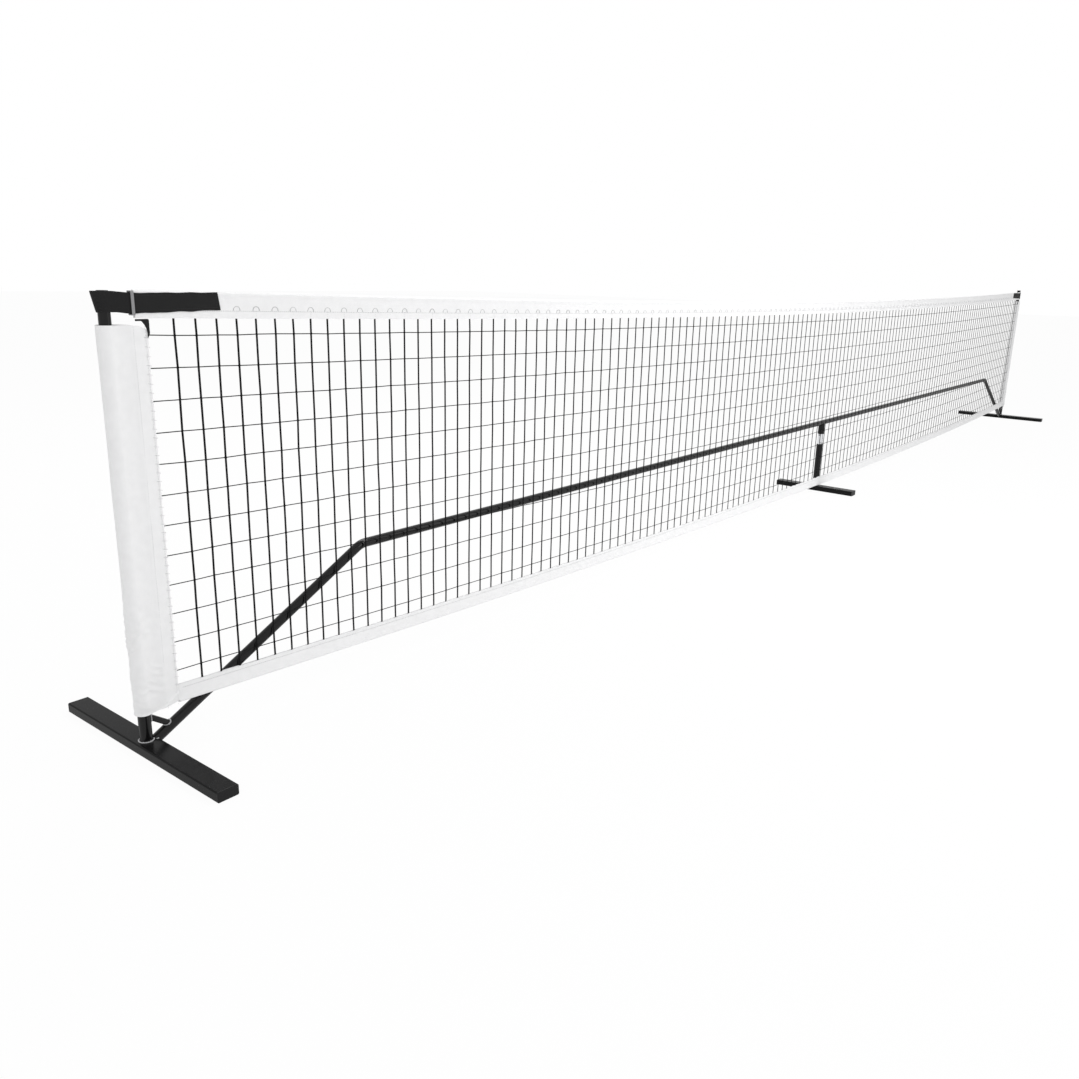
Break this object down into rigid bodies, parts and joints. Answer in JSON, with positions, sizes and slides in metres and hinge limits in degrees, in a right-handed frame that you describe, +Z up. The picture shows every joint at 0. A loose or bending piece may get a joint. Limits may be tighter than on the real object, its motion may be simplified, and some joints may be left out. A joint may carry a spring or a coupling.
{
  "type": "portable net frame with net",
  "caption": "Portable racket-sport net: sagging net with white headband, bottom band and post sleeves on a black tube frame with feet.",
  "frame": {"origin": "on the floor midway between the two posts, in the plane through the post axes", "axes": "+X along the net towards the right-hand post, +Z up, -Y towards the face on which the net hangs"},
  "size_m": [6.776, 0.57, 0.9127],
  "materials": {
    "black_powder_coat": "gloss",
    "charcoal_powder_coat": "satin",
    "bright_steel": "satin",
    "plated_steel": "satin",
    "spring_steel": "satin",
    "black_plastic": "matte",
    "white_cloth": "matte",
    "black_net": "matte",
    "charcoal_webbing": "matte",
    "black_binding": "matte"
  },
  "bodies": {
    "frame": {"bottom_band": "white_cloth", "centre_foot_caps": "black_plastic", "centre_foot_tube": "charcoal_powder_coat", "centre_leg": "black_powder_coat", "centre_tee": "black_powder_coat", "corner_tabs": "black_binding", "headband": "white_cloth", "left_base_brace": "black_powder_coat", "left_bend_spring": "spring_steel", "left_bend_tube": "black_powder_coat", "left_foot_caps": "black_plastic", "left_foot_tube": "charcoal_powder_coat", "left_inner_rail": "black_powder_coat", "left_outer_rail": "black_powder_coat", "left_post_socket": "black_powder_coat", "left_rail_spring": "spring_steel", "left_sleeve": "white_cloth", "left_stay_spring": "spring_steel", "left_stay_stub": "black_powder_coat", "left_strap": "charcoal_webbing", "left_strap_slide": "plated_steel", "left_tee_spring": "spring_steel", "leg_spigot": "bright_steel", "leg_spring": "spring_steel", "net": "black_net", "right_base_brace": "black_powder_coat", "right_bend_spring": "spring_steel", "right_bend_tube": "black_powder_coat", "right_foot_caps": "black_plastic", "right_foot_tube": "charcoal_powder_coat", "right_inner_rail": "black_powder_coat", "right_outer_rail": "black_powder_coat", "right_post_socket": "black_powder_coat", "right_rail_spring": "spring_steel", "right_sleeve": "white_cloth", "right_stay_spring": "spring_steel", "right_stay_stub": "black_powder_coat", "right_strap": "charcoal_webbing", "right_strap_slide": "plated_steel", "right_tee_spring": "spring_steel"},
    "left_bend_button_body": {"left_bend_button": "plated_steel"},
    "left_post_body": {"left_post": "black_powder_coat", "left_post_cap": "black_plastic"},
    "left_rail_button_body": {"left_rail_button": "plated_steel"},
    "left_stay_button_body": {"left_stay_button": "plated_steel"},
    "left_tee_button_body": {"left_tee_button": "plated_steel"},
    "leg_button_body": {"leg_button": "plated_steel"},
    "right_bend_button_body": {"right_bend_button": "plated_steel"},
    "right_post_body": {"right_post": "black_powder_coat", "right_post_cap": "black_plastic"},
    "right_rail_button_body": {"right_rail_button": "plated_steel"},
    "right_stay_button_body": {"right_stay_button": "plated_steel"},
    "right_tee_button_body": {"right_tee_button": "plated_steel"}
  },
  "joints": [
    {"name": "left_post_lift", "type": "slide", "parent": "frame", "child": "left_post_body", "axis": [0, 0, 1], "range_m": [0, 0.9]},
    {"name": "right_post_lift", "type": "slide", "parent": "frame", "child": "right_post_body", "axis": [0, 0, 1], "range_m": [0, 0.9]},
    {"name": "left_bend_button_press", "type": "slide", "parent": "frame", "child": "left_bend_button_body", "axis": [0, -1, 0], "range_m": [0, 0.005], "stiffness_N_per_m": 1500, "deforming": ["left_bend_spring"]},
    {"name": "left_rail_button_press", "type": "slide", "parent": "frame", "child": "left_rail_button_body", "axis": [0, -1, 0], "range_m": [0, 0.005], "stiffness_N_per_m": 1500, "deforming": ["left_rail_spring"]},
    {"name": "left_stay_button_press", "type": "slide", "parent": "frame", "child": "left_stay_button_body", "axis": [0, -1, 0], "range_m": [0, 0.005], "stiffness_N_per_m": 1500, "deforming": ["left_stay_spring"]},
    {"name": "left_tee_button_press", "type": "slide", "parent": "frame", "child": "left_tee_button_body", "axis": [0, -1, 0], "range_m": [0, 0.005], "stiffness_N_per_m": 1500, "deforming": ["left_tee_spring"]},
    {"name": "leg_button_press", "type": "slide", "parent": "frame", "child": "leg_button_body", "axis": [1, 0, 0], "range_m": [0, 0.005], "stiffness_N_per_m": 1500, "deforming": ["leg_spring"]},
    {"name": "right_bend_button_press", "type": "slide", "parent": "frame", "child": "right_bend_button_body", "axis": [0, -1, 0], "range_m": [0, 0.005], "stiffness_N_per_m": 1500, "deforming": ["right_bend_spring"]},
    {"name": "right_rail_button_press", "type": "slide", "parent": "frame", "child": "right_rail_button_body", "axis": [0, -1, 0], "range_m": [0, 0.005], "stiffness_N_per_m": 1500, "deforming": ["right_rail_spring"]},
    {"name": "right_stay_button_press", "type": "slide", "parent": "frame", "child": "right_stay_button_body", "axis": [0, -1, 0], "range_m": [0, 0.005], "stiffness_N_per_m": 1500, "deforming": ["right_stay_spring"]},
    {"name": "right_tee_button_press", "type": "slide", "parent": "frame", "child": "right_tee_button_body", "axis": [0, -1, 0], "range_m": [0, 0.005], "stiffness_N_per_m": 1500, "deforming": ["right_tee_spring"]}
  ]
}
